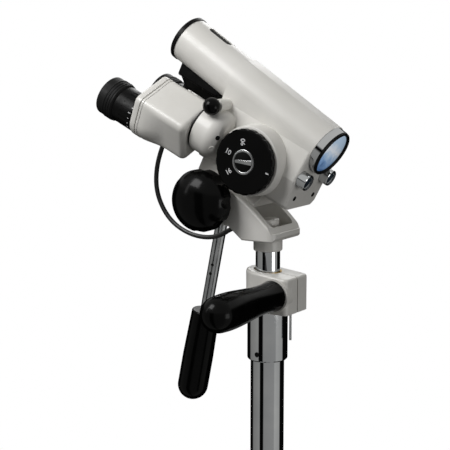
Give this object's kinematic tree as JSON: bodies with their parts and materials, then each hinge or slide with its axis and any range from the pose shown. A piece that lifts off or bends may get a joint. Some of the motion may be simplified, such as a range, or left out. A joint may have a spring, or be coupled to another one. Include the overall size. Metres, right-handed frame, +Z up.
{
  "type": "colposcope",
  "caption": "Binocular colposcope head with a coaxial lamp tube, prism housings and a magnification knob, tilting in a yoke on a height-adjustable column with a clamp handle.",
  "frame": {"origin": "centre of the column tube's lower end", "axes": "+Z up along the column, +X towards the patient, +Y to the operator's left"},
  "size_m": [0.2645, 0.2112, 0.5161],
  "materials": {
    "white_paint": "gloss",
    "chrome": "polished",
    "black_plastic": "gloss",
    "black_metal": "satin",
    "black_rubber": "matte",
    "steel": "satin",
    "brass": "satin",
    "blue_glass": "polished",
    "clear_glass": "polished",
    "green_glass": "polished",
    "socket_plastic": "matte",
    "aluminium": "satin"
  },
  "bodies": {
    "column": {"column_tube": "chrome", "sleeve": "chrome", "sleeve_ring": "chrome", "sleeve_screw": "black_metal", "clamp_block": "white_paint", "clamp_nut": "steel", "stem_bush": "brass", "stop_rod": "steel"},
    "clamp_lever": {"clamp_handle": "black_plastic", "clamp_screw": "steel"},
    "stem": {"stem": "chrome", "swivel_cap": "white_paint"},
    "yoke": {"yoke": "white_paint", "yoke_gland": "black_plastic"},
    "head": {"housing": "white_paint", "head_lug": "white_paint", "pivot_shaft": "steel", "knob_washer": "steel", "rod_bracket": "chrome", "handle_rod": "chrome", "grip": "black_plastic", "lamp_tube": "white_paint", "lamp_end_cap": "black_metal", "lamp_socket": "socket_plastic", "lamp": "clear_glass", "heat_filter": "clear_glass", "condenser_lens": "clear_glass", "bezel": "chrome", "bezel_ring": "black_metal", "front_lens": "blue_glass", "socket_box": "black_metal", "box_gland": "black_plastic", "near_objective_cell": "chrome", "far_objective_cell": "chrome", "near_objective_lens": "clear_glass", "far_objective_lens": "clear_glass", "near_neck_gasket": "black_rubber", "far_neck_gasket": "black_rubber", "light_cord": "black_rubber"},
    "tilt_clamp": {"tilt_knob": "black_plastic"},
    "magnification": {"mag_knob": "black_plastic", "mag_shaft": "steel", "lens_drum": "aluminium", "drum_lenses": "clear_glass"},
    "filter": {"filter_ball": "black_plastic", "filter_shaft": "steel", "filter_disc": "green_glass"},
    "near_prism_unit": {"near_prism_housing": "white_paint", "near_rear_cover": "white_paint", "near_prisms": "clear_glass"},
    "far_prism_unit": {"far_prism_housing": "white_paint", "far_rear_cover": "white_paint", "far_prisms": "clear_glass"},
    "near_dioptre": {"near_dioptre_ring": "black_metal", "near_eyecup": "black_rubber", "near_eye_lens": "clear_glass"},
    "far_dioptre": {"far_dioptre_ring": "black_metal", "far_eyecup": "black_rubber", "far_eye_lens": "clear_glass"}
  },
  "joints": [
    {"name": "stem_lift", "type": "slide", "parent": "column", "child": "stem", "axis": [0, 0, 1], "range_m": [-0.017, 0.1]},
    {"name": "clamp_turn", "type": "hinge", "parent": "column", "child": "clamp_lever", "pos_m": [0.0196, 0, 0.238], "axis": [0, -1, 0], "range_deg": [-15, 345]},
    {"name": "yoke_swivel", "type": "hinge", "parent": "stem", "child": "yoke", "pos_m": [0, 0, 0.28], "axis": [0, 0, 1], "range_deg": [-90, 90]},
    {"name": "head_tilt", "type": "hinge", "parent": "yoke", "child": "head", "pos_m": [-0.052, 0, 0.3329], "axis": [0, 1, 0], "range_deg": [-40, 12], "deforming": ["light_cord"]},
    {"name": "tilt_clamp_turn", "type": "hinge", "parent": "head", "child": "tilt_clamp", "pos_m": [-0.052, 0, 0.3329], "axis": [0, -1, 0], "range_deg": [-15, 345]},
    {"name": "magnification_turn", "type": "hinge", "parent": "head", "child": "magnification", "pos_m": [0.00297, 0, 0.37615], "axis": [0, -1, 0], "continuous": true},
    {"name": "filter_turn", "type": "hinge", "parent": "head", "child": "filter", "pos_m": [-0.03345, 0, 0.42986], "axis": [0, 1, 0], "range_deg": [0, 90]},
    {"name": "near_roll", "type": "hinge", "parent": "head", "child": "near_prism_unit", "pos_m": [-0.02359, -0.034, 0.39247], "axis": [0.9026, 0, -0.4305], "range_deg": [0, 36]},
    {"name": "far_roll", "type": "hinge", "parent": "head", "child": "far_prism_unit", "pos_m": [-0.02359, 0.034, 0.39247], "axis": [0.9026, 0, -0.4305], "range_deg": [-36, 0]},
    {"name": "near_dioptre_turn", "type": "hinge", "parent": "near_prism_unit", "child": "near_dioptre", "pos_m": [-0.0334, -0.045, 0.37189], "axis": [0.9026, 0, -0.4305], "range_deg": [-150, 150]},
    {"name": "far_dioptre_turn", "type": "hinge", "parent": "far_prism_unit", "child": "far_dioptre", "pos_m": [-0.0334, 0.045, 0.37189], "axis": [0.9026, 0, -0.4305], "range_deg": [-150, 150]}
  ],
  "couplings": [
    {"joint": "far_roll", "follows": "near_roll", "ratio": -1}
  ]
}
